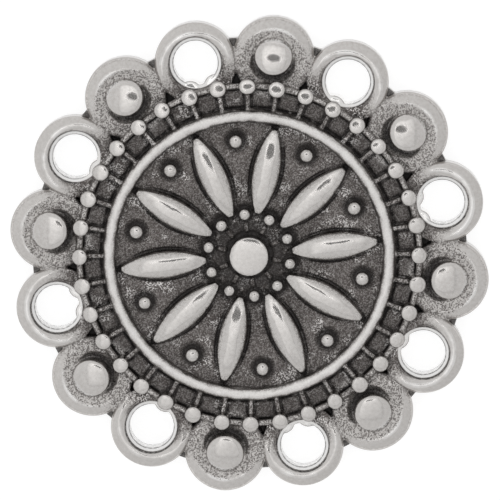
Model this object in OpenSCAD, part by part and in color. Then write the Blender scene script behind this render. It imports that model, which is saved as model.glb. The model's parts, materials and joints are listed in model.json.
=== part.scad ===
// Round cast rosette, a spacer that holds eight strands apart.
// One casting: sixteen lobes round a medallion, eight of them pierced as eyelets.
// The flat back lies on z = 0 and the hole of one eyelet lies on the +X axis.

/* [Outline] */
// Diameter over the lobes
overall_d = 30; // [29:0.1:31]
// Diameter of one lobe at its widest line
lobe_d = 5.1; // [5:0.05:5.2]
// Diameter of the web that fills the valleys between the lobes
web_d = 27.1; // [26.8:0.1:27.4]

/* [Eyelets] */
// Number of pierced lobes, with a boss lobe between each two
eyelet_count = 8; // [8:4:8]
// Diameter of the hole for a strand
hole_d = 2.75; // [2.5:0.05:2.85]
// Diameter of the flared mouth of a hole
mouth_d = 3.12; // [3:0.02:3.2]
// Width of the lip where a rim pellet stands at the edge of a hole
lip_d = 1.38; // [1.3:0.02:1.42]

/* [Bosses] */
// Diameter of a boss at its foot
boss_d = 2.34; // [2.1:0.02:2.4]
// Height of a boss above the back
boss_h = 2.3; // [2.1:0.05:2.4]
// Diameter of the crest round the dish of a boss lobe
dish_d = 3.8; // [3.6:0.05:3.85]

/* [Medallion] */
// Diameter of the circle of rim pellets
rim_circle_d = 21.2; // [21.1:0.05:21.3]
// Number of rim pellets, each with a bar to the plain ring
rim_count = 36; // [36:36:36]
// Diameter of a rim pellet
rim_pellet_d = 0.94; // [0.8:0.02:1]
// Diameter of the plain ring at the middle of its wire
ring_d = 17.5; // [17.3:0.1:17.7]
// Width of the plain ring
ring_w = 0.6; // [0.5:0.05:0.7]
// Width of the bars and of the rail
bar_w = 0.3; // [0.25:0.01:0.36]

/* [Rosette] */
// Number of petals, with a field pellet and an inner pellet between each two
petal_count = 10; // [8:1:10]
// Length of a petal from tip to tip
petal_length = 5.2; // [4.8:0.1:5.3]
// Width of a petal
petal_w = 1.62; // [1.4:0.02:1.7]
// Radius at which a petal has its middle
petal_mid_r = 5.5; // [5.4:0.05:5.6]
// Diameter of a field pellet
field_pellet_d = 0.78; // [0.6:0.02:0.9]
// Radius of the circle of field pellets
field_pellet_r = 7.2; // [7:0.05:7.3]
// Diameter of an inner pellet
inner_pellet_d = 0.66; // [0.5:0.02:0.7]
// Radius of the circle of inner pellets
inner_pellet_r = 2.56; // [2.5:0.02:2.7]
// Diameter of the button in the middle
button_d = 2.42; // [2.2:0.02:2.5]

/* [Heights above the back] */
// Height of the crest of a lobe
lobe_h = 2; // [1.9:0.05:2.1]
// Height of the web between the lobes
web_h = 1; // [0.8:0.05:1.1]
// Height of the ground of the medallion
ground_h = 1.45; // [1.4:0.01:1.5]
// Height of the ground outside the rim pellets
skirt_h = 1.5; // [1.46:0.01:1.55]
// Height of the rail and of the bars
rail_h = 1.85; // [1.75:0.05:1.9]
// Height of the pellets
pellet_h = 2.4; // [2.3:0.05:2.5]
// Height of the plain ring
ring_h = 2.3; // [2.2:0.05:2.35]
// Height of the petals
petal_h = 2.38; // [2.3:0.02:2.45]
// Height of the button
button_h = 2.6; // [2.4:0.05:2.7]

/* [Hidden] */
$fn = 48;

lobe_r = lobe_d / 2;
lobe_circle_r = overall_d / 2 - lobe_r;
eyelet_pitch = 360 / eyelet_count;
petal_pitch = 360 / petal_count;

// The bullnose of a lobe is a round bead that stands a little proud of the wall below it
bead_r = lobe_h * 0.275;
bead_mid_r = lobe_r - bead_r;
bead_mid_h = lobe_h - bead_r;
wall_r = lobe_r - 0.05;
rim_top_h = lobe_h - 0.03;

// The mouth of a hole is straight above mouth_h and narrows to the hole at throat_h
mouth_h = skirt_h - 0.05;
throat_h = 1.15;

// Depth to which raised forms are rooted below the surface that they stand on
root = 0.3;
// Overshoot of a cutting shape beyond the surface that it cuts
over = 0.5;

// Copies of a form evenly round the middle, the first at the angle start
module around(count, radius, start = 0) {
    for (i = [0 : count - 1])
        rotate(start + i * 360 / count)
            translate([radius, 0, 0])
                children();
}

// Section of the wall and the bullnose that every lobe has, filled to the height floor_h
module lobe_section(floor_h) {
    square([wall_r, bead_mid_h]);
    square([bead_mid_r, floor_h]);
    translate([bead_mid_r, bead_mid_h])
        circle(r = bead_r);
}

// Lobe of an eyelet, before its hole is cut
module eyelet_lobe() {
    rotate_extrude()
        lobe_section(skirt_h);
}

// Lobe of a boss: a bullnose rim round a dish with sloping sides
module boss_lobe() {
    dish_r = dish_d / 2;
    foot_r = boss_d / 2 + 0.13;
    rise = lobe_h - skirt_h;
    slope = (dish_r - foot_r) / rise;
    rotate_extrude()
        difference() {
            lobe_section(rim_top_h);
            polygon([
                [0, skirt_h],
                [foot_r, skirt_h],
                [foot_r + slope * (rise + over), lobe_h + over],
                [0, lobe_h + over]
            ]);
        }
}

// Boss with steep sides and a low domed top
module boss() {
    foot_r = boss_d / 2;
    shoulder_r = foot_r * 0.8;
    dome_r = boss_d * 1.24;
    rotate_extrude()
        intersection() {
            translate([0, boss_h - dome_r])
                circle(r = dome_r);
            polygon([
                [0, skirt_h - root],
                [foot_r, skirt_h - root],
                [shoulder_r, boss_h],
                [0, boss_h + over]
            ]);
        }
}

// Web that joins the lobes near the back
module web() {
    cylinder(d = web_d, h = web_h);
}

// Space above the ground inside the ring of lobes, whose wall leans outwards
module hollow_of_lobes() {
    rim_r = rim_circle_d / 2;
    skirt_r = rim_r + 0.5;
    rotate_extrude()
        polygon([
            [0, web_h],
            [rim_r, web_h],
            [rim_r, skirt_h],
            [skirt_r, skirt_h],
            [skirt_r + 2 * over, lobe_h + over],
            [0, lobe_h + over]
        ]);
}

// Section of the plain ring, a half-round wire on a tapered foot
module ring_section() {
    wire_r = ring_w / 2;
    foot_w = ring_w * 0.6;
    translate([ring_d / 2, 0]) {
        translate([0, ring_h - wire_r])
            circle(r = wire_r);
        polygon([
            [-foot_w, ground_h - root],
            [foot_w, ground_h - root],
            [wire_r / 2, ring_h - wire_r],
            [-wire_r / 2, ring_h - wire_r]
        ]);
    }
}

// Section of the button, with steep sides and a low domed top
module button_section() {
    foot_r = button_d / 2;
    dome_r = button_d * 1.3;
    intersection() {
        translate([0, button_h - dome_r])
            circle(r = dome_r);
        polygon([
            [0, ground_h - root],
            [foot_r, ground_h - root],
            [foot_r * 0.85, button_h],
            [0, button_h + over]
        ]);
    }
}

// Medallion: ground, rail under the rim pellets, plain ring and button, in one turned body
module medallion() {
    rim_r = rim_circle_d / 2;
    rotate_extrude($fn = 96) {
        square([rim_r, ground_h]);
        translate([rim_r - bar_w / 2, 0])
            square([bar_w, rail_h]);
        ring_section();
        button_section();
    }
}

// Pellet on a short neck
module pellet(d, top_h) {
    r = d / 2;
    neck_r = r * 0.86;
    rotate_extrude($fn = 24) {
        translate([0, ground_h - root])
            square([neck_r, top_h - r - ground_h + root]);
        intersection() {
            translate([0, top_h - r])
                circle(r = r);
            translate([0, top_h - d])
                square([d, d]);
        }
    }
}

// Bar along the X axis between two radii
module bar(r_from, r_to, width, top_h) {
    translate([r_from, -width / 2, ground_h - root])
        cube([r_to - r_from, width, top_h - ground_h + root]);
}

// Pointed oval in the plane, centred, with its points on the X axis
module pointed_oval(length, width) {
    arc_r = (length * length / 4 + width * width / 4) / width;
    shift = arc_r - width / 2;
    intersection() {
        translate([0, shift])
            circle(r = arc_r, $fn = 180);
        translate([0, -shift])
            circle(r = arc_r, $fn = 180);
    }
}

// Spindle along the X axis: a pointed oval turned about its own length
module spindle(length, width) {
    rotate([0, 90, 0])
        rotate_extrude()
            intersection() {
                rotate(90)
                    pointed_oval(length, width);
                translate([0, -length])
                    square([width, 2 * length]);
            }
}

// Petal: steep sides of a pointed oval under the crown of a longer and wider spindle
module petal() {
    crown_w = petal_w * 1.36;
    crown_length = petal_length * 1.23;
    intersection() {
        translate([0, 0, ground_h - root])
            linear_extrude(petal_h)
                pointed_oval(petal_length, petal_w);
        translate([0, 0, petal_h - crown_w / 2])
            spindle(crown_length, crown_w);
    }
}

// Hole through an eyelet, with its flared mouth
module hole() {
    hole_r = hole_d / 2;
    mouth_r = mouth_d / 2;
    rotate_extrude()
        polygon([
            [0, -over],
            [hole_r, -over],
            [hole_r, throat_h],
            [mouth_r, mouth_h],
            [mouth_r, lobe_h + over],
            [0, lobe_h + over]
        ]);
}

// Ring of sixteen lobes, hollow inside, with its bosses and pierced eyelets
module lobes() {
    difference() {
        union() {
            web();
            around(eyelet_count, lobe_circle_r)
                eyelet_lobe();
            around(eyelet_count, lobe_circle_r, eyelet_pitch / 2)
                boss_lobe();
        }
        hollow_of_lobes();
        around(eyelet_count, lobe_circle_r)
            hole();
    }
    around(eyelet_count, lobe_circle_r, eyelet_pitch / 2)
        boss();
}

// Everything that stands on the ground of the medallion
module relief() {
    around(rim_count, rim_circle_d / 2)
        pellet(rim_pellet_d, pellet_h);
    for (i = [0 : rim_count - 1])
        rotate(i * 360 / rim_count)
            bar(ring_d / 2, rim_circle_d / 2, bar_w, rail_h - 0.1);
    around(petal_count, petal_mid_r)
        petal();
    around(petal_count, field_pellet_r, petal_pitch / 2)
        pellet(field_pellet_d, pellet_h - 0.25);
    around(petal_count, inner_pellet_r, petal_pitch / 2)
        pellet(inner_pellet_d, pellet_h - 0.3);
    for (i = [0 : petal_count - 1])
        rotate((i + 0.5) * petal_pitch)
            bar(button_d / 2 + 0.2, inner_pellet_r - inner_pellet_d / 2 - 0.15, bar_w * 0.8, ground_h + 0.12);
}

// Lips at the four holes that have a rim pellet straight inside them
module lips() {
    around(4, rim_circle_d / 2)
        cylinder(d = lip_d, h = ground_h - 0.05);
}

module spacer_casting() {
    color("silver") {
        lobes();
        medallion();
        relief();
        lips();
    }
}

spacer_casting();
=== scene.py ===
import json
import math
import random

import bpy
from mathutils import Matrix, Vector


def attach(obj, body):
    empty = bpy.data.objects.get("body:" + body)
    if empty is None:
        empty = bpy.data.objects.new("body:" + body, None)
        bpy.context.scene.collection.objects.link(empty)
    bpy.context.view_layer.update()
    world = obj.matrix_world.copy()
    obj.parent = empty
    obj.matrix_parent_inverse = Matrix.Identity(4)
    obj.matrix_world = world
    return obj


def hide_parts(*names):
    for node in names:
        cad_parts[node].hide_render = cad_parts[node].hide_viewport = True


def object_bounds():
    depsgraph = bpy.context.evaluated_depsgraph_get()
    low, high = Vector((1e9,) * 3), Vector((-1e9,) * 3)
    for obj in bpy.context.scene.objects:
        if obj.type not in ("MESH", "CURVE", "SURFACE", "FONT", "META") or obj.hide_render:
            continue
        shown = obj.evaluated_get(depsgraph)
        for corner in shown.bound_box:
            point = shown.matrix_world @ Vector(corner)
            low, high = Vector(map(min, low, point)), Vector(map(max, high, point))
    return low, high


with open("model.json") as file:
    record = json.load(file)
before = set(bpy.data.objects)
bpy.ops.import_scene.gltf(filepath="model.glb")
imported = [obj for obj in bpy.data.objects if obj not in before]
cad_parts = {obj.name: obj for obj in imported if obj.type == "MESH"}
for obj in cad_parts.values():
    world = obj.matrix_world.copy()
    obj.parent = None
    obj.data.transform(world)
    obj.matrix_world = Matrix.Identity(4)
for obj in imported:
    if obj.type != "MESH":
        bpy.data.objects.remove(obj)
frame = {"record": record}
cad_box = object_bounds()


# Web
# The web is the plate near the back that joins the sixteen lobes of the casting and closes
# the valleys between them. It is zinc alloy, poured in one with all that stands on it.
MM = 0.001  # all forms are modelled in millimetres, and the finished casting is brought to metres
OVERALL_R = cad_box[1].x / MM
WEB_R = OVERALL_R - 1.45
WEB_H = 1.0
EDGE_R = 0.12


def turned(name, profile, axis_r=0.0, sides=72):
    """Turns a closed solid about an upright axis from a profile that runs from its back to its top."""
    radius, height = profile[0]
    bpy.ops.object.select_all(action="DESELECT")
    bpy.ops.mesh.primitive_circle_add(
        vertices=sides, radius=radius, location=(axis_r, 0, height), fill_type="NGON")
    bpy.ops.object.transform_apply(location=True, rotation=True, scale=True)
    bpy.ops.object.mode_set(mode="EDIT")
    bpy.ops.mesh.select_all(action="SELECT")
    for next_radius, next_height in profile[1:]:
        share = next_radius / radius
        bpy.ops.mesh.extrude_region()
        bpy.ops.transform.resize(value=(share, share, 1), center_override=(axis_r, 0, height))
        bpy.ops.transform.translate(value=(0, 0, next_height - height))
        radius, height = next_radius, next_height
    bpy.ops.mesh.select_all(action="SELECT")
    bpy.ops.mesh.normals_make_consistent(inside=False)
    bpy.ops.object.mode_set(mode="OBJECT")
    form = bpy.context.object
    form.name = name
    return form


web = turned("web", [(WEB_R - EDGE_R, 0), (WEB_R, EDGE_R), (WEB_R, WEB_H)], sides=144)


# Eyelets
# Eight lobes are pierced from front to back to hold the strands apart. Each is a round bullnose
# ring of cast alloy whose hole was cored in the mould, with a flared mouth brightened by painted light.
# Its crest and the basin inside the crest lie a little towards the middle of the casting.
bores = [mount for mount in frame["record"]["mounts"] if mount["kind"] == "bore"]
EYELETS = len(bores)
HOLE_CIRCLE_R = Vector(bores[0]["pos_m"]).xy.length / MM
HOLE_R = bores[0]["dims"]["r_mm"]
LOBE_R = OVERALL_R - HOLE_CIRCLE_R
LOBE_H = 2.0
WALL_IN = 0.03
SHOULDER_R = 0.42
SHOULDER_SLOPE = 27
CREST_R = 1.82
CREST_EDGE = 0.04
CREST_DROP = 0.015
CAP_R = 2.25
BASIN_IN = 0.3
BASIN_R = 2.06
MOUTH_R = 1.64
MOUTH_H = 1.5
THROAT_H = 1.42
SKIRT_H = 1.5
HOLLOW_IN = 1.85
HOLLOW_OUT = 0.1
OVER = 0.5  # how far a cutting form goes past what it cuts
LARGE_ARC = 9


def arc(middle_r, middle_h, r, start, end, steps):
    """Points (radius, height) on a round stretch of a profile, between two angles in degrees."""
    turns = [math.radians(start + (end - start) * i / steps) for i in range(steps + 1)]
    return [(middle_r + r * math.cos(turn), middle_h + r * math.sin(turn)) for turn in turns]


def finish_with(form, kind, **settings):
    """Gives a form one modifier with its settings and applies it."""
    bpy.ops.object.select_all(action="DESELECT")
    form.select_set(True)
    bpy.context.view_layer.objects.active = form
    modifier = form.modifiers.new(kind.lower(), kind)
    for setting, value in settings.items():
        setattr(modifier, setting, value)
    bpy.ops.object.modifier_apply(modifier=modifier.name)


def cut(form, cutter, operation="DIFFERENCE"):
    """Cuts a form with another one and takes the cutter away."""
    finish_with(form, "BOOLEAN", operation=operation, object=cutter, solver="MANIFOLD")
    bpy.data.objects.remove(cutter)


def moved(form, matrix):
    """A copy of a form with its own mesh, placed by a matrix."""
    copy = form.copy()
    copy.data = form.data.copy()
    copy.data.transform(matrix)
    bpy.context.collection.objects.link(copy)
    return copy


def around(form, count, first=0.0):
    """Copies of a form evenly round the middle of the casting, in place of the form itself."""
    places = [math.radians(first + 360 * i / count) for i in range(count)]
    copies = [moved(form, Matrix.Rotation(place, 4, "Z")) for place in places]
    bpy.data.objects.remove(form)
    return copies


def lobe_side(crest_r=CREST_R):
    """Profile of the side that every lobe has, from the back up to the crest of its bullnose."""
    slope = math.radians(SHOULDER_SLOPE)
    wall_r = LOBE_R - WALL_IN
    edge_r = crest_r + CREST_EDGE
    edge_h = LOBE_H - CREST_DROP
    slope_r = LOBE_R - SHOULDER_R * (1 - math.sin(slope))
    slope_h = edge_h - (slope_r - edge_r) * math.tan(slope)
    middle_h = slope_h - SHOULDER_R * math.cos(slope)
    shoulder = arc(LOBE_R - SHOULDER_R, middle_h, SHOULDER_R, -15, 90 - SHOULDER_SLOPE, LARGE_ARC)
    return [(wall_r - EDGE_R, 0), (wall_r, EDGE_R)] + shoulder + [(edge_r, edge_h), (crest_r, LOBE_H)]


def hollow():
    """The space inside the ring of lobes, whose floor rises gently outwards into each lobe."""
    foot_r = HOLE_CIRCLE_R - HOLLOW_IN
    rise_r = HOLE_CIRCLE_R + HOLLOW_OUT
    slope = (LOBE_H - MOUTH_H) / (rise_r - foot_r)
    profile = [(foot_r, WEB_H), (foot_r, MOUTH_H), (rise_r + OVER / slope, LOBE_H + OVER)]
    return turned("hollow", profile, sides=288)


def hole():
    """The hole of an eyelet with its flared mouth, as a cutter."""
    profile = [(HOLE_R, -OVER), (HOLE_R, THROAT_H), (MOUTH_R - 0.03, MOUTH_H), (MOUTH_R, MOUTH_H + 0.05),
               (MOUTH_R, LOBE_H + OVER)]
    return turned("hole", profile, HOLE_CIRCLE_R)


eyelet = turned("eyelet", lobe_side(CAP_R - 0.1) + [(0.1, LOBE_H)], HOLE_CIRCLE_R)
cap_foot_r = CAP_R + LOBE_H / math.tan(math.radians(SHOULDER_SLOPE))
cap = turned("cap", [(cap_foot_r, 0), (CAP_R, LOBE_H)], HOLE_CIRCLE_R - BASIN_IN)
cut(eyelet, cap, "INTERSECT")
basin_side = [
    (BASIN_R - 0.47, SKIRT_H + 0.06), (BASIN_R - 0.3, LOBE_H - 0.2), (BASIN_R - 0.11, LOBE_H - 0.1),
    (BASIN_R, LOBE_H - CREST_DROP), (BASIN_R, LOBE_H + OVER)]
cut(eyelet, turned("basin", basin_side, HOLE_CIRCLE_R - BASIN_IN))
cut(eyelet, hollow())
cut(eyelet, hole())
forms = around(eyelet, EYELETS)
for pierced in around(hole(), EYELETS):
    cut(web, pierced)
forms.append(web)


# Boss lobes
# Between the eyelets lie eight closed lobes with a smooth bullnose on their outer side. The
# sand-textured dish inside it opens to the medallion, so its crest is a crescent. A moat that
# is deepest on the inner side of the boss holds the black oxide at its foot.
DISH_R = 2.2
DISH_IN = 0.45
DISH_H = 0.12
MOAT_IN = 0.4
MOAT_R = 1.36
MOAT_H = 0.2
boss_lobe = turned("boss_lobe", lobe_side() + [(0.1, LOBE_H)], HOLE_CIRCLE_R)
dish_side = [
    (0.9, SKIRT_H), (1.45, LOBE_H - 0.22), (DISH_R - 0.2, LOBE_H - DISH_H), (DISH_R, LOBE_H),
    (DISH_R, LOBE_H + OVER)]
cut(boss_lobe, turned("dish", dish_side, HOLE_CIRCLE_R - DISH_IN))
moat_side = [
    (0.95, SKIRT_H - MOAT_H), (1.22, SKIRT_H), (MOAT_R, SKIRT_H + MOAT_H), (MOAT_R, SKIRT_H + OVER)]
cut(boss_lobe, turned("moat", moat_side, HOLE_CIRCLE_R - MOAT_IN))
cut(boss_lobe, hollow())


# Bosses
# A boss stands in each dish: a cast stud with steep rough sides and a narrow bevel under a low
# polished dome. It leans a little outwards, as the whole front falls away from its middle.
BOSS_R = 1.17
BOSS_OUT = 0.03
BOSS_H = 2.3
BOSS_BEVEL_W = 0.24
BOSS_DOME_R = 4.8
BOSS_LEAN = math.radians(8)


def dome(rim_r, crest_h, dome_r):
    """Profile of a low dome from its rim to its crest."""
    spread = math.asin(rim_r / dome_r)
    tilts = [spread * (1 - i / LARGE_ARC) for i in range(LARGE_ARC)] + [0.04]
    return [(dome_r * math.sin(tilt), crest_h - dome_r * (1 - math.cos(tilt))) for tilt in tilts]


boss_dome = dome(BOSS_R - BOSS_BEVEL_W, BOSS_H, BOSS_DOME_R)
bevel_h = boss_dome[0][1]
boss_side = [(BOSS_R, WEB_H), (BOSS_R, bevel_h - 0.15), (BOSS_R - 0.05, bevel_h - 0.08)]
boss = turned("boss", boss_side + boss_dome, HOLE_CIRCLE_R + BOSS_OUT)
pivot = Matrix.Translation((HOLE_CIRCLE_R, 0, SKIRT_H))
boss.data.transform(pivot @ Matrix.Rotation(BOSS_LEAN, 4, "Y") @ pivot.inverted())
forms += around(boss_lobe, EYELETS, 180 / EYELETS)
forms += around(boss, EYELETS, 180 / EYELETS)


# Medallion ground
# The ground is the flat sand-cast floor of the medallion, inside the lobes. A narrow trench runs
# round each petal, pellet and the button, and holds the black oxide that outlines them.
GROUND_R = 10.6
GROUND_H = 1.45
TRENCH_W = 0.25
TRENCH_H = GROUND_H - 0.16
PIT_W = 0.41
PIT_SLOPE = 0.33
CENTRE_R = 2.15
CENTRE_H = GROUND_H - 0.1
GROOVE_W = 0.3
PETALS = 10
PETAL_LENGTH = 5.8
PETAL_W = 1.64
PETAL_MID_R = 5.36
FIELD_CIRCLE_R = 7.2
FIELD_PELLET_R = 0.415
INNER_CIRCLE_R = 2.57
INNER_PELLET_R = 0.355
BUTTON_R = 1.23


def pointed_oval(name, length, width, side):
    """A solid whose outline is a pointed oval, the overlap of two wide discs with a given side."""
    disc_r = (length ** 2 / 4 + width ** 2 / 4) / width
    shift = disc_r - width / 2
    profile = [(disc_r - inset, height) for inset, height in side]
    discs = [turned(name, profile, PETAL_MID_R, sides=420) for _ in range(2)]
    for disc, way in zip(discs, (1, -1)):
        disc.data.transform(Matrix.Translation((0, way * shift, 0)))
    cut(discs[0], discs[1], "INTERSECT")
    return discs[0]


ground = turned("ground", [(GROUND_R, WEB_H - OVER), (GROUND_R, GROUND_H)], sides=216)
trench_side = [(0.08, TRENCH_H), (0, GROUND_H), (0, GROUND_H + OVER)]
trench = pointed_oval("trench", PETAL_LENGTH + 1.4 * TRENCH_W, PETAL_W + 2 * TRENCH_W, trench_side)
for petal_trench in around(trench, PETALS):
    cut(ground, petal_trench)
for circle_r, pellet_r in ((FIELD_CIRCLE_R, FIELD_PELLET_R), (INNER_CIRCLE_R, INNER_PELLET_R)):
    pit_r = pellet_r + PIT_W
    pit_side = [(pit_r - PIT_SLOPE, TRENCH_H), (pit_r, GROUND_H), (pit_r, GROUND_H + OVER)]
    for pellet_pit in around(turned("pit", pit_side, circle_r), PETALS, 180 / PETALS):
        cut(ground, pellet_pit)
groove_r = BUTTON_R + GROOVE_W
core = turned("core", [(CENTRE_R, WEB_H), (CENTRE_R, CENTRE_H)])
cut(ground, turned("middle", [(CENTRE_R, TRENCH_H), (CENTRE_R, GROUND_H + OVER)]))
cut(core, turned("groove", [(groove_r, TRENCH_H), (groove_r, GROUND_H + OVER)]))
forms += [ground, core]


# Rail and bars
# A low rail under the rim pellets and thirty-six short bars to the plain ring divide the border
# into square cells. They are round-topped ribs of the casting, left rough and half oxidised.
RIM_PELLETS = 36
RIM_CIRCLE_R = 10.6
RING_R = 8.73
BAR_W = 0.3
RAIL_H = 1.85
RAIL_R = 0.21
BAR_H = RAIL_H - 0.1
SPOKE_H = GROUND_H + 0.12
CELL_H = GROUND_H - 0.03
CELL_GAP = 0.06
CELL_MID_R = 9.8


def torus(name, ring_r, wire_r, height, sides=216):
    """A round wire ring whose crest lies at a height."""
    bpy.ops.object.select_all(action="DESELECT")
    bpy.ops.mesh.primitive_torus_add(
        major_radius=ring_r, minor_radius=wire_r, location=(0, 0, height - wire_r),
        major_segments=sides, minor_segments=24)
    bpy.ops.object.transform_apply(location=True, rotation=True, scale=True)
    form = bpy.context.object
    form.name = name
    return form


def rib(name, start_r, end_r, width, top_h):
    """A round-topped rib that runs outwards along the X axis."""
    bpy.ops.object.select_all(action="DESELECT")
    bpy.ops.mesh.primitive_cube_add(
        size=1, location=((start_r + end_r) / 2, 0, (top_h + WEB_H) / 2),
        scale=(end_r - start_r, width, top_h - WEB_H))
    bpy.ops.object.transform_apply(location=True, rotation=True, scale=True)
    form = bpy.context.object
    form.name = name
    finish_with(form, "BEVEL", width=min(width * 0.35, 0.16), segments=3, limit_method="ANGLE")
    return form


border = turned("border", [(GROUND_R - 0.02, TRENCH_H), (GROUND_R - 0.02, GROUND_H + OVER)], sides=216)
cut(border, turned("inside", [(RING_R, 0), (RING_R, 2 * GROUND_H)], sides=144))
cut(ground, border)
cell_start_r = RING_R + 0.44 + CELL_GAP
cell_end_r = RIM_CIRCLE_R - RAIL_R + 0.03
cell_half_w = math.pi * CELL_MID_R / RIM_PELLETS - BAR_W / 2 - CELL_GAP
cell = rib("cell", cell_start_r, cell_end_r, 2 * cell_half_w, CELL_H)
forms += around(cell, RIM_PELLETS, 180 / RIM_PELLETS)
forms.append(torus("rail", RIM_CIRCLE_R, RAIL_R, RAIL_H))
forms += around(rib("bar", RING_R, RIM_CIRCLE_R, BAR_W, BAR_H), RIM_PELLETS)
spoke_end_r = INNER_CIRCLE_R - INNER_PELLET_R - 0.15
forms += around(rib("spoke", BUTTON_R + 0.2, spoke_end_r, BAR_W, SPOKE_H), PETALS, 180 / PETALS)


# Plain ring
# The plain ring frames the rosette. In the wax model it was a bent round wire pressed on the
# ground, so in the casting it is an uneven half-round bead on a wider and rougher foot.
RING_WIRE_R = 0.355
RING_FLATNESS = 0.7
RING_H = 2.3
wax = bpy.data.textures.new("bent_wax_wire", "CLOUDS")
wax.noise_scale = 0.45
ring = torus("ring", RING_R, RING_WIRE_R, RING_H / RING_FLATNESS, sides=540)
ring.data.transform(Matrix.Diagonal((1, 1, RING_FLATNESS, 1)))
finish_with(ring, "DISPLACE", texture=wax, strength=0.14, mid_level=0.5)
ring_foot = torus("ring_foot", RING_R + 0.03, RING_WIRE_R + 0.05, RING_H - 0.34, sides=540)
finish_with(ring_foot, "DISPLACE", texture=wax, strength=0.3, mid_level=0.5)
forms += [ring, ring_foot]


# Petals
# Ten long petals make the rosette. Each is a cast rib with a pointed oval outline, steep sides
# and a narrow bevel round a smooth cushion top, which is the most polished part of the front.
PETAL_H = 2.38
PETAL_END_R = 2.68
PETAL_CROWNS = ((3.0, 11.0, 0.0), (1.5, 8.2, 0.01))  # radius across, length and rise of the two crowns
petal_side = [
    (-0.12, WEB_H), (-0.1, TRENCH_H), (0, PETAL_H - 0.28), (0.2, PETAL_H - 0.11), (0.2, PETAL_H + OVER)]
petal = pointed_oval("petal", PETAL_LENGTH, PETAL_W, petal_side)
blunt = turned("blunt", [(PETAL_END_R, 0), (PETAL_END_R, 2 * PETAL_H)], PETAL_MID_R)
cut(petal, blunt, "INTERSECT")
for crown_r, crown_length, rise in PETAL_CROWNS:
    bpy.ops.object.select_all(action="DESELECT")
    bpy.ops.mesh.primitive_uv_sphere_add(
        segments=128, ring_count=96, radius=crown_r, location=(PETAL_MID_R, 0, PETAL_H + rise - crown_r),
        rotation=(0, math.radians(90), 0), scale=(1, 1, crown_length / 2 / crown_r))
    bpy.ops.object.transform_apply(location=True, rotation=True, scale=True)
    cut(petal, bpy.context.object, "INTERSECT")
petals = around(petal, PETALS)
for petal in petals:
    finish_with(petal, "DISPLACE", texture=wax, strength=0.03, mid_level=0.5)
forms += petals


# Pellets
# Fifty-six small balls stand on short necks: thirty-six on the rail, ten between the petals and
# ten round the button. They imitate soldered granules, and no two are quite alike.
PELLET_H = 2.4
FIELD_PELLET_H = PELLET_H - 0.25
INNER_PELLET_H = PELLET_H - 0.3
RIM_PELLET_R = 0.515
RIM_PELLET_IN = 0.11
RIM_LEAN = 7
PLACE_ERROR = 0.03
SIZE_ERROR = 0.05
SMALL_ARC = 4
hand = random.Random(30)


def granules(circle_r, pellet_r, dome_r, crest_h, count, first=0.0, lean=0):
    """Pellets evenly round a circle, each a little off in size and place as if set by hand."""
    crown = dome(pellet_r - 0.07, crest_h, dome_r)
    shoulder = arc(pellet_r - 0.1, crown[0][1] - 0.1, 0.1, 0, 60, SMALL_ARC)
    neck = [(pellet_r * 0.94, WEB_H), (pellet_r * 0.97, shoulder[0][1] - 0.12)]
    ball = turned("pellet", neck + shoulder + crown, sides=40)
    foot = Matrix.Translation((0, 0, GROUND_H))
    leaning = foot @ Matrix.Rotation(math.radians(lean), 4, "Y") @ foot.inverted()
    made = []
    for i in range(count):
        place = math.radians(first + 360 * i / count)
        out = circle_r + hand.uniform(-PLACE_ERROR, PLACE_ERROR)
        aside = hand.uniform(-PLACE_ERROR, PLACE_ERROR)
        length, width = (1 + hand.uniform(-SIZE_ERROR, SIZE_ERROR) for _ in range(2))
        set_off = Matrix.Translation((out, aside, 0)) @ Matrix.Diagonal((length, width, 1, 1))
        made.append(moved(ball, Matrix.Rotation(place, 4, "Z") @ set_off @ leaning))
    bpy.data.objects.remove(ball)
    return made


forms += granules(RIM_CIRCLE_R - RIM_PELLET_IN, RIM_PELLET_R, 4.2, PELLET_H, RIM_PELLETS, lean=RIM_LEAN)
forms += granules(FIELD_CIRCLE_R, FIELD_PELLET_R, 0.9, FIELD_PELLET_H, PETALS, 180 / PETALS)
forms += granules(INNER_CIRCLE_R, INNER_PELLET_R, 0.8, INNER_PELLET_H, PETALS, 180 / PETALS)


# Lips
# Where a rim pellet stands at the edge of a hole, its thicker post shows in the mouth as a
# bright rounded lip. Four holes have one lip in the middle, and the other four have two.
LIP_H = 1.5
LIP_EDGE_R = 0.2
LIP_IN = 0.15
LIP_PAIR = 4.2
LIPS = ((0, 10.65, 0.72), (45 - LIP_PAIR, 10.82, 0.7), (45 + LIP_PAIR, 10.82, 0.7))  # place, circle, radius
for place, circle_r, lip_r in LIPS:
    lip_top = arc(lip_r - LIP_EDGE_R, LIP_H - LIP_EDGE_R, LIP_EDGE_R, 20, 90, SMALL_ARC)
    lip = turned("lip", [(lip_r, 0), (lip_r, LIP_H - LIP_EDGE_R)] + lip_top, circle_r, sides=48)
    inside_r = RIM_CIRCLE_R - LIP_IN
    cut(lip, turned("inside", [(inside_r, -OVER), (inside_r, LIP_H + OVER)], sides=144))
    forms += around(lip, 4, place)


# Button
# The button in the middle of the rosette is a flat stud with steep sides. Its low dome stands
# highest of all on the casting, so it was polished first and is the plainest mirror.
BUTTON_H = cad_box[1].z / MM
BUTTON_EDGE_R = 0.1
button_dome = dome(BUTTON_R - BUTTON_EDGE_R / 2, BUTTON_H, BUTTON_R * 9)
button_side = [(BUTTON_R, WEB_H), (BUTTON_R, button_dome[0][1] - BUTTON_EDGE_R)]
forms.append(turned("button", button_side + button_dome))


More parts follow.
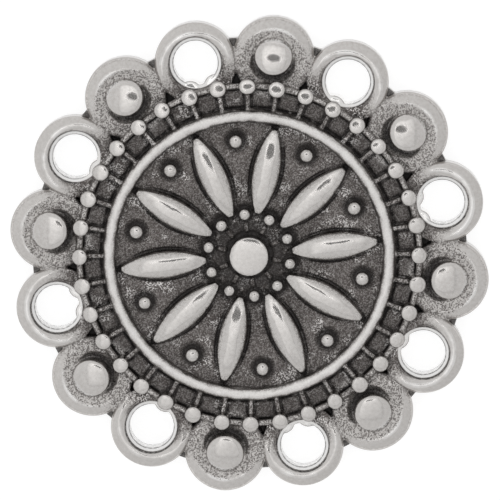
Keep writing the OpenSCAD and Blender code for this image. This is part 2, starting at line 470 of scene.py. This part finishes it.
# Casting
# All of these forms are one pour of zinc alloy with a thin silver plate. The plate was blackened,
# then tumbled, so that oxide stays in the hollows and the high places are bright. The back was
# rubbed flat, and the skin keeps the faint waves of the mould.
VOXEL = 0.055
BACK_FLAT = 0.04
TRIANGLES = 190000
bpy.ops.object.select_all(action="DESELECT")
for form in forms:
    form.select_set(True)
bpy.context.view_layer.objects.active = web
bpy.ops.object.join()
casting = bpy.context.object
casting.name = "rosette_casting"
casting.data.name = "rosette_casting"
finish_with(casting, "REMESH", mode="VOXEL", voxel_size=VOXEL)
finish_with(casting, "SMOOTH", factor=0.5, iterations=2)
for unevenness, width in ((0.014, 1.3), (0.005, 0.4)):
    clouds = bpy.data.textures.new("cast_skin", "CLOUDS")
    clouds.noise_scale = width
    finish_with(casting, "DISPLACE", texture=clouds, strength=unevenness, mid_level=0.5)
for point in casting.data.vertices:
    if point.co.z < BACK_FLAT:
        point.co.z = 0.0
finish_with(casting, "DECIMATE", ratio=TRIANGLES / (2 * len(casting.data.polygons)))
bpy.ops.object.shade_smooth()
casting.data.transform(Matrix.Scale(MM, 4))


def store_distance(name, axes):
    """Stores how far each point of the casting lies from the nearest of some upright axes."""
    layer = casting.data.attributes.new(name, "FLOAT", "POINT")
    for point, stored in zip(casting.data.vertices, layer.data):
        stored.value = min((point.co.xy - axis).length for axis in axes)


hole_axes = [Vector(bore["pos_m"]).xy for bore in bores]
half_pitch = Matrix.Rotation(math.pi / EYELETS, 2)
store_distance("from_hole", hole_axes)
store_distance("from_dish", [half_pitch @ axis * (1 - DISH_IN / HOLE_CIRCLE_R) for axis in hole_axes])


def colour(code):
    """A linear colour from an sRGB hex code such as #c8c4c0."""
    parts = [int(code[i:i + 2], 16) / 255 for i in (1, 3, 5)]
    return [part / 12.92 if part <= 0.04045 else ((part + 0.055) / 1.055) ** 2.4 for part in parts] + [1]


def node(tree, kind, links=None, **settings):
    """Adds a shader node of a kind, sets its values and inputs, and links the nodes that feed it.

    Inputs go by name or number. In a MapRange 0 is the value, 1 and 2 the range that it comes
    from, 3 and 4 the range that it goes to. In a Mix 0 is the share, 2 and 3 are two numbers,
    6 and 7 two colours, and output 2 is the mixed colour.
    """
    made = tree.nodes.new("ShaderNode" + kind)
    for setting, value in settings.items():
        setattr(made, setting, value)
    for socket, source in (links or {}).items():
        if isinstance(source, bpy.types.Node):
            source = source.outputs[0]
        if isinstance(source, bpy.types.NodeSocket):
            tree.links.new(source, made.inputs[socket])
        else:
            made.inputs[socket].default_value = source
    return made


SAND_W = 0.061  # one grain of fine moulding sand, which left its print on the casting
DUST_W = 0.2  # smudges of polishing dust
PATCH_W = 1.3  # patches that the tumbling reached more or less
RING_GRAIN_W = 0.07
BUMP_H = 0.028


def antiqued_silver():
    """Blackened and tumbled silver plate: crests with a painted highlight, speckled grey floors with painted
    shade and black crevices.
    """
    material = bpy.data.materials.new("antiqued_silver_plate")
    material.use_nodes = True
    tree = material.node_tree
    tree.nodes.clear()
    place = node(tree, "TexCoord").outputs["Object"]
    across = node(tree, "SeparateXYZ", {0: place}).outputs
    height = across["Z"]
    facing = node(tree, "SeparateXYZ", {0: node(tree, "NewGeometry").outputs["Normal"]}).outputs["Z"]
    from_hole = node(tree, "Attribute", attribute_name="from_hole").outputs["Fac"]
    from_dish = node(tree, "Attribute", attribute_name="from_dish").outputs["Fac"]
    flat = node(tree, "VectorMath", {0: place, 1: (1, 1, 0)}, operation="MULTIPLY")
    out_r = node(tree, "VectorMath", {0: flat}, operation="LENGTH").outputs["Value"]

    # Grain of the sand-cast skin, and the smudges and patches left by the tumbling
    sand = node(tree, "TexVoronoi", {"Vector": place, "Scale": 1 / (SAND_W * MM)}).outputs["Color"]
    dust = node(tree, "TexNoise", {"Vector": place, "Scale": 1 / (DUST_W * MM), "Detail": 2.0})
    patch = node(tree, "TexNoise", {"Vector": place, "Scale": 1 / (PATCH_W * MM), "Detail": 3.0})
    dust = dust.outputs["Fac"]
    patch = patch.outputs["Fac"]

    # Where the surface lies: how far out, upwards, in a hole, in a dish, on the relief
    reach = node(
        tree, "MapRange", {0: out_r, 1: 11.0 * MM, 2: 14.1 * MM}, interpolation_type="SMOOTHSTEP")
    upward = node(tree, "MapRange", {0: facing, 1: 0.2, 2: 0.75}, interpolation_type="SMOOTHSTEP")
    below_tops = node(
        tree, "MapRange", {0: height, 1: (LOBE_H + 0.02) * MM, 2: (LOBE_H + 0.1) * MM, 3: 1.0, 4: 0.0})
    in_hole = node(
        tree, "MapRange", {0: from_hole, 1: (MOUTH_R - 0.06) * MM, 2: (MOUTH_R - 0.02) * MM, 3: 1.0, 4: 0.0})
    in_hole = node(tree, "Math", {0: in_hole, 1: below_tops}, operation="MULTIPLY")
    outside_hole = node(tree, "Math", {0: 1.0, 1: in_hole}, operation="SUBTRACT")
    ragged = node(tree, "MapRange", {0: sand, 3: -0.25 * MM, 4: 0.25 * MM})
    from_dish = node(tree, "Math", {0: from_dish, 1: ragged}, operation="ADD")
    in_dish = node(
        tree, "MapRange", {0: from_dish, 1: (DISH_R - 0.2) * MM, 2: (DISH_R + 0.06) * MM, 3: 1.0, 4: 0.0})
    off_eyelet = node(tree, "MapRange", {0: from_hole, 1: 2.3 * MM, 2: 2.6 * MM})
    in_dish = node(tree, "Math", {0: in_dish, 1: off_eyelet}, operation="MULTIPLY")
    in_dish = node(tree, "Math", {0: in_dish, 1: below_tops}, operation="MULTIPLY")
    bright_from = node(
        tree, "MapRange", {0: out_r, 1: 8.2 * MM, 2: 8.4 * MM, 3: 2.2 * MM, 4: 2.1 * MM})
    raised = node(
        tree, "MapRange", {0: height, 1: 1.6 * MM, 2: bright_from}, interpolation_type="SMOOTHSTEP")

    # How bare the tumbling left the silver, broken up by the grain wherever it is not all bare
    edges = node(tree, "MapRange", {0: facing, 1: 0.78, 2: 0.96, 3: 0.68, 4: 1.0})
    worn_relief = node(tree, "Math", {0: raised, 1: edges}, operation="MULTIPLY")
    worn_relief = node(tree, "Math", {0: reach, 1: 0.8, 2: worn_relief}, operation="MULTIPLY_ADD")
    worn_dish = node(tree, "Math", {0: reach, 1: 0.68, 2: 0.16}, operation="MULTIPLY_ADD")
    worn = node(tree, "Mix", {0: in_dish, 2: worn_relief, 3: worn_dish})
    speckle = node(tree, "MapRange", {0: sand, 1: 0.25, 2: 0.75, 3: -0.42, 4: 0.56})
    broken = node(tree, "MapRange", {0: worn, 1: 0.0, 2: 0.3, 3: 0.5, 4: 1.0})
    uneven = node(tree, "MapRange", {0: worn, 1: 0.7, 2: 0.98, 3: 1.0, 4: 0.0})
    uneven = node(tree, "Math", {0: uneven, 1: broken}, operation="MULTIPLY")
    grainy = node(tree, "MapRange", {0: in_dish, 3: 0.75, 4: 4.2})
    uneven = node(tree, "Math", {0: uneven, 1: grainy}, operation="MULTIPLY")
    bare = node(tree, "Math", {0: speckle, 1: uneven, 2: worn}, operation="MULTIPLY_ADD", use_clamp=True)
    dulled = node(tree, "Math", {0: 1.0, 1: bare}, operation="SUBTRACT")
    patina = node(tree, "Math", {0: dulled, 1: upward}, operation="MULTIPLY")
    patina = node(tree, "Math", {0: patina, 1: outside_hole}, operation="MULTIPLY")

    # Black oxide in the crevices and on the low floors, with a ragged edge
    open_sky = node(tree, "AmbientOcclusion", {"Distance": 0.5 * MM}, samples=4, only_local=True)
    steep = node(tree, "MapRange", {0: facing, 1: 0.2, 2: 0.9, 3: 0.24, 4: 0.0})
    shelter = node(tree, "Math", {0: open_sky.outputs["AO"], 1: steep}, operation="ADD")
    shelter = node(tree, "Math", {0: sand, 1: 0.34, 2: shelter}, operation="MULTIPLY_ADD")
    sheltered = node(
        tree, "MapRange", {0: shelter, 1: 0.65, 2: 0.99, 3: 1.0, 4: 0.0}, interpolation_type="SMOOTHSTEP")
    rubbed_out = node(tree, "MapRange", {0: reach, 1: 0.1, 2: 0.5, 3: 1.0, 4: 0.12})
    sheltered = node(tree, "Math", {0: sheltered, 1: rubbed_out}, operation="MULTIPLY")
    low = node(
        tree, "MapRange", {0: height, 1: (TRENCH_H + 0.01) * MM, 2: (GROUND_H + 0.01) * MM, 3: 0.9, 4: 0.0})
    rubbed_web = node(tree, "MapRange", {0: reach, 3: 1.0, 4: 0.75})
    low = node(tree, "Math", {0: low, 1: rubbed_web}, operation="MULTIPLY")
    low = node(tree, "Math", {0: low, 1: upward}, operation="MULTIPLY")
    crevice = node(tree, "Math", {0: sheltered, 1: low}, operation="MAXIMUM")
    crevice = node(tree, "Math", {0: crevice, 1: outside_hole}, operation="MULTIPLY")

    # Two thin chipped dark lines, in the throat of a hole and round its mouth
    past_lips = node(tree, "MapRange", {0: out_r, 1: 11.2 * MM, 2: 11.6 * MM})
    chipped = node(tree, "MapRange", {0: dust, 1: 0.38, 2: 0.52, 3: 0.25, 4: 1.0})
    chipped = node(tree, "Math", {0: chipped, 1: past_lips}, operation="MULTIPLY")
    for line_r, strength in ((HOLE_R + 0.035, 0.6), (MOUTH_R + 0.01, 0.9)):
        off_line = node(tree, "Math", {0: from_hole, 1: line_r * MM}, operation="SUBTRACT")
        off_line = node(tree, "Math", {0: off_line}, operation="ABSOLUTE")
        line = node(tree, "MapRange", {0: off_line, 1: 0.015 * MM, 2: 0.05 * MM, 3: strength, 4: 0.0})
        line = node(tree, "Math", {0: line, 1: chipped}, operation="MULTIPLY")
        crevice = node(tree, "Math", {0: crevice, 1: line}, operation="MAXIMUM")

    # Silver, with painted shade that darkens it on steep sides, a painted highlight along the crests and
    # painted light that brightens it in the holes
    silver = node(tree, "Mix", {0: dust, 6: colour("#c6c2bf"), 7: colour("#dedbd8")}, data_type="RGBA")
    # Painted light: the silver in the mouths and throats of the holes is lightened to near white
    hole_painted_light = node(tree, "Mix", {0: past_lips, 6: colour("#f2f0ee"), 7: colour("#f6f5f4")}, data_type="RGBA")
    # Painted shade: the silver is darkened towards #8f8b88 on steep sides
    sideways = node(tree, "MapRange", {0: facing, 1: 0.35, 2: 0.8, 3: 0.6, 4: 0.0})
    silver = node(
        tree, "Mix", {0: sideways, 6: silver.outputs[2], 7: colour("#8f8b88")}, data_type="RGBA")
    # Painted highlight: the silver is lightened to near white along the crests of the lobes, broken up in
    # patches
    painted_crest_highlight = node(tree, "MapRange", {0: height, 1: (LOBE_H - 0.055) * MM, 2: (LOBE_H - 0.025) * MM})
    painted_crest_highlight = node(tree, "Math", {0: painted_crest_highlight, 1: below_tops}, operation="MULTIPLY")
    painted_crest_highlight = node(tree, "Math", {0: painted_crest_highlight, 1: reach}, operation="MULTIPLY")
    highlight_patches = node(tree, "MapRange", {0: patch, 1: 0.44, 2: 0.58, 3: 0.08, 4: 0.55})
    painted_crest_highlight = node(tree, "Math", {0: painted_crest_highlight, 1: highlight_patches}, operation="MULTIPLY")
    silver = node(tree, "Mix", {0: painted_crest_highlight, 6: silver.outputs[2], 7: colour("#f8f7f6")}, data_type="RGBA")
    silver = node(tree, "Mix", {0: in_hole, 6: silver.outputs[2], 7: hole_painted_light.outputs[2]}, data_type="RGBA")

    # Floors: grey with light flecks in places, with painted shade that darkens them near the middle and
    # beside the plain ring
    dark = node(tree, "Mix", {0: in_dish, 6: colour("#453f3d"), 7: colour("#504b49")}, data_type="RGBA")
    pale = node(tree, "Mix", {0: in_dish, 6: colour("#827c79"), 7: colour("#a8a3a0")}, data_type="RGBA")
    grey = node(tree, "Mix", {0: dust, 6: dark.outputs[2], 7: pale.outputs[2]}, data_type="RGBA")
    light_grain = node(tree, "MapRange", {0: sand, 1: 0.5, 2: 0.72})
    light_patch = node(tree, "MapRange", {0: patch, 1: 0.54, 2: 0.61, 3: 0.12, 4: 1.0})
    light_patch = node(tree, "Math", {0: light_patch, 1: in_dish}, operation="MAXIMUM")
    fleck = node(tree, "Math", {0: light_grain, 1: light_patch}, operation="MULTIPLY")
    floor = node(tree, "Mix", {0: fleck, 6: grey.outputs[2], 7: colour("#eeebe9")}, data_type="RGBA")
    # Painted shade: the floor is darkened among the petals and button and next to the tall plain ring, where
    # shade falls
    floor_painted_shade = node(tree, "MapRange", {0: out_r, 1: 4.0 * MM, 2: 6.0 * MM, 3: 0.68, 4: 1.0})
    off_ring = node(tree, "Math", {0: out_r, 1: RING_R * MM}, operation="SUBTRACT")
    off_ring = node(tree, "Math", {0: off_ring}, operation="ABSOLUTE")
    painted_shade_by_ring = node(tree, "MapRange", {0: off_ring, 1: 0.5 * MM, 2: 2.4 * MM, 3: 0.82, 4: 1.0})
    floor_painted_shade = node(tree, "Math", {0: floor_painted_shade, 1: painted_shade_by_ring}, operation="MULTIPLY")
    floor = node(tree, "VectorMath", {0: floor.outputs[2], 1: floor_painted_shade}, operation="MULTIPLY")
    metal = node(tree, "Mix", {0: patina, 6: silver.outputs[2], 7: floor}, data_type="RGBA")
    shown = node(tree, "Mix", {0: crevice, 6: metal.outputs[2], 7: colour("#262221")}, data_type="RGBA")

    # The plain ring has a painted highlight along its crest and painted shade on its flanks, both broken up
    # by a fine grain
    turn = node(tree, "Math", {0: across["Y"], 1: across["X"]}, operation="ARCTAN2")
    along = node(tree, "Math", {0: turn, 1: 6.0 * MM}, operation="MULTIPLY")
    wire_place = node(tree, "CombineXYZ", {0: out_r, 1: along, 2: height})
    wire_grain = node(
        tree, "TexNoise", {"Vector": wire_place, "Scale": 1 / (RING_GRAIN_W * MM), "Detail": 3.0})
    wire_grain = wire_grain.outputs["Fac"]
    wire_from = node(tree, "MapRange", {0: out_r, 1: 8.2 * MM, 2: 8.3 * MM})
    wire_to = node(tree, "MapRange", {0: out_r, 1: 9.15 * MM, 2: 9.25 * MM, 3: 1.0, 4: 0.0})
    on_wire = node(tree, "Math", {0: wire_from, 1: wire_to}, operation="MULTIPLY")
    on_wire = node(tree, "Math", {0: on_wire, 1: raised}, operation="MULTIPLY")
    # Painted shade: the flanks of the ring are darkened towards #7d7874
    wire_painted_shade = node(tree, "MapRange", {0: wire_grain, 1: 0.38, 2: 0.5, 3: 1.0, 4: 0.0})
    flank = node(tree, "MapRange", {0: facing, 1: 0.75, 2: 0.96, 3: 1.0, 4: 0.08})
    wire_painted_shade = node(tree, "Math", {0: wire_painted_shade, 1: flank}, operation="MULTIPLY")
    wire_painted_shade = node(tree, "Math", {0: wire_painted_shade, 1: on_wire}, operation="MULTIPLY")
    # Painted highlight: the crest of the ring is lightened to near white
    wire_painted_highlight = node(tree, "MapRange", {0: wire_grain, 1: 0.4, 2: 0.64, 3: 0.5, 4: 0.85})
    wire_crest = node(tree, "MapRange", {0: facing, 1: 0.86, 2: 0.98, 3: 0.1, 4: 0.65})
    wire_painted_highlight = node(tree, "Math", {0: wire_painted_highlight, 1: wire_crest}, operation="MULTIPLY")
    wire_painted_highlight = node(tree, "Math", {0: wire_painted_highlight, 1: on_wire}, operation="MULTIPLY")
    shown = node(
        tree, "Mix", {0: wire_painted_shade, 6: shown.outputs[2], 7: colour("#7d7874")}, data_type="RGBA")
    shown = node(
        tree, "Mix", {0: wire_painted_highlight, 6: shown.outputs[2], 7: colour("#f6f4f2")}, data_type="RGBA")

    # Gloss: bare silver is polished, the ring satin, and oxide and sand-textured floors are matt
    dull = node(tree, "Math", {0: patina, 1: crevice}, operation="MAXIMUM")
    dish_skin = node(tree, "Math", {0: in_dish, 1: upward}, operation="MULTIPLY")
    matt = node(tree, "Math", {0: dull, 1: dish_skin}, operation="MAXIMUM")
    satin = node(tree, "Math", {0: on_wire, 1: 0.6}, operation="MULTIPLY")
    finish = node(tree, "Math", {0: matt, 1: satin}, operation="MAXIMUM")
    roughness = node(tree, "MapRange", {0: finish, 3: 0.14, 4: 0.5})
    metallic = node(tree, "MapRange", {0: crevice, 3: 1.0, 4: 0.4})
    grit = node(tree, "Math", {0: sand, 1: matt}, operation="MULTIPLY")
    bump = node(tree, "Bump", {"Height": grit, "Strength": 1.0, "Distance": BUMP_H * MM})
    shader = node(tree, "BsdfPrincipled", {
        "Base Color": shown.outputs[2], "Metallic": metallic, "Roughness": roughness, "Normal": bump})
    node(tree, "OutputMaterial", {"Surface": shader})
    return material


casting.data.materials.clear()
casting.data.materials.append(antiqued_silver())
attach(casting, "root")
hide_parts("spacer_casting")


# Studio
# The piece lies on a white sheet that is lit from below, inside a white tent. The tent has a
# bright roof with a thin dark seam round it, over darker walls. A lens in the roof shows in the
# domes of the casting as a small dark mirror image with a bright collar.
TURN = math.radians(29.4)  # the first hole lies this far below the right-hand side of the picture


def pictured(angle):
    """Unit vector on the floor at an angle in the picture, counter-clockwise from its right."""
    turned_by = math.radians(angle) + TURN
    return Vector((math.cos(turned_by), math.sin(turned_by), 0))


SHEET_SIZE = 3.0
SHEET_GAP = 0.02
bpy.ops.object.select_all(action="DESELECT")
bpy.ops.mesh.primitive_plane_add(size=SHEET_SIZE, location=(0, 0, -SHEET_GAP * MM))
sheet = bpy.context.object
sheet.name = "light_sheet"
white = bpy.data.materials.new("white_acrylic_sheet")
white.use_nodes = True
acrylic = white.node_tree.nodes["Principled BSDF"]
acrylic.inputs["Base Color"].default_value = colour("#9c9c9c")
acrylic.inputs["Roughness"].default_value = 0.6
acrylic.inputs["Emission Color"].default_value = colour("#ffffff")
acrylic.inputs["Emission Strength"].default_value = 0.8
sheet.data.materials.append(white)

# The tent: walls and roof are brighter towards the upper left of the picture
tent = bpy.data.worlds.new("light_tent")
tent.use_nodes = True
bpy.context.scene.world = tent
walls = tent.node_tree
walls.nodes.clear()
toward = node(walls, "TexCoord").outputs["Generated"]
upwards = node(walls, "SeparateXYZ", {0: toward}).outputs["Z"]
sideways = node(walls, "VectorMath", {0: toward, 1: pictured(140)}, operation="DOT_PRODUCT").outputs["Value"]
roof = node(
    walls, "MapRange", {0: sideways, 1: -0.45, 2: 0.45, 3: 0.78, 4: 1.17}, interpolation_type="SMOOTHSTEP")
wall = node(walls, "MapRange", {0: sideways, 1: -0.9, 2: 0.9, 3: 0.7, 4: 0.82})
beyond = []
for axis, middle, half_width in ((0, 0.03, 0.4), (90, -0.02, 0.55)):
    share = node(walls, "VectorMath", {0: toward, 1: pictured(axis)}, operation="DOT_PRODUCT")
    share = node(walls, "Math", {0: share.outputs["Value"], 1: upwards}, operation="DIVIDE")
    off_middle = node(walls, "Math", {0: share, 1: middle}, operation="SUBTRACT")
    off_middle = node(walls, "Math", {0: off_middle}, operation="ABSOLUTE")
    beyond.append(node(walls, "Math", {0: off_middle, 1: half_width}, operation="SUBTRACT"))
edge = node(walls, "Math", {0: beyond[0], 1: beyond[1]}, operation="MAXIMUM")
in_roof = node(walls, "MapRange", {0: edge, 1: -0.12, 2: 0.12, 3: 1.0, 4: 0.0})
overhead = node(walls, "MapRange", {0: upwards, 1: 0.2, 2: 0.3})
in_roof = node(walls, "Math", {0: in_roof, 1: overhead}, operation="MULTIPLY")
level = node(walls, "Mix", {0: in_roof, 2: wall, 3: roof})
off_seam = node(walls, "Math", {0: edge}, operation="ABSOLUTE")
seam = node(walls, "MapRange", {0: off_seam, 1: 0.012, 2: 0.04, 3: 0.68, 4: 1.0})
level = node(walls, "Math", {0: level, 1: seam}, operation="MULTIPLY")
LENS_TILT = math.radians(10)
lens_way = pictured(84) * math.sin(LENS_TILT) + Vector((0, 0, math.cos(LENS_TILT)))
to_lens = node(walls, "VectorMath", {0: toward, 1: lens_way}, operation="DOT_PRODUCT").outputs["Value"]
spot = node(walls, "MapRange", {0: to_lens, 1: 0.956, 2: 0.974, 3: 1.0, 4: 1.08})
level = node(walls, "Math", {0: level, 1: spot}, operation="MULTIPLY")
glow = node(walls, "Background", {"Color": level, "Strength": 1.0})
node(walls, "OutputWorld", {"Surface": glow})

# The lens: collar, front and glass, as discs that only mirror images show
LENS_SPREAD = 1.7
LENS_AWAY = 0.3
LENS_PARTS = (  # name, colour, half angle, how far in front of the collar, glow
    ("camera_collar", "#ffffff", 7.3, 0.0, 1.3), ("camera_front", "#202020", 6.4, 0.002, 0.0),
    ("camera_glass", "#6c6c6c", 4.2, 0.004, 0.0))
for name, shade, half_angle, forward, strength in LENS_PARTS:
    bpy.ops.object.select_all(action="DESELECT")
    bpy.ops.mesh.primitive_circle_add(
        vertices=48, radius=LENS_AWAY * math.tan(math.radians(half_angle)), fill_type="NGON",
        location=lens_way * (LENS_AWAY - forward), rotation=lens_way.to_track_quat("Z", "Y").to_euler())
    disc = bpy.context.object
    disc.data.transform(Matrix.Diagonal((LENS_SPREAD, 1, 1, 1)))
    disc.name = name
    paint = bpy.data.materials.new(name)
    paint.use_nodes = True
    painted = paint.node_tree.nodes["Principled BSDF"]
    painted.inputs["Base Color"].default_value = colour(shade)
    painted.inputs["Emission Color"].default_value = colour("#ffffff")
    painted.inputs["Emission Strength"].default_value = strength
    disc.data.materials.append(paint)
    disc.visible_camera = False
    disc.visible_shadow = False
    disc.visible_diffuse = False


# Camera
# The photograph was taken from almost straight above, with a long lens. The picture is
# 500 pixels wide and shows the piece at 16 pixels a millimetre.
PICTURE_W = 500 / 16.05 * MM
CAMERA_TILT = math.radians(8)
CAMERA_AWAY = 0.45
AIM_RIGHT = 0.03
AIM_UP = 0.25
AIM_H = 1.2
camera_data = bpy.data.cameras.new("camera")
camera = bpy.data.objects.new("camera", camera_data)
bpy.context.collection.objects.link(camera)
bpy.context.scene.camera = camera
aim = (pictured(90) * AIM_UP + pictured(0) * AIM_RIGHT + Vector((0, 0, AIM_H))) * MM
back = pictured(78) * math.sin(CAMERA_TILT) + Vector((0, 0, math.cos(CAMERA_TILT)))
right = pictured(90).cross(back).normalized()
up = back.cross(right)
stance = Matrix((right, up, back)).transposed().to_4x4()
camera.matrix_world = Matrix.Translation(aim + back * CAMERA_AWAY) @ stance
camera_data.lens = camera_data.sensor_width * CAMERA_AWAY / PICTURE_W
camera_data.clip_start = 0.01
bpy.context.scene.view_settings.view_transform = "Standard"
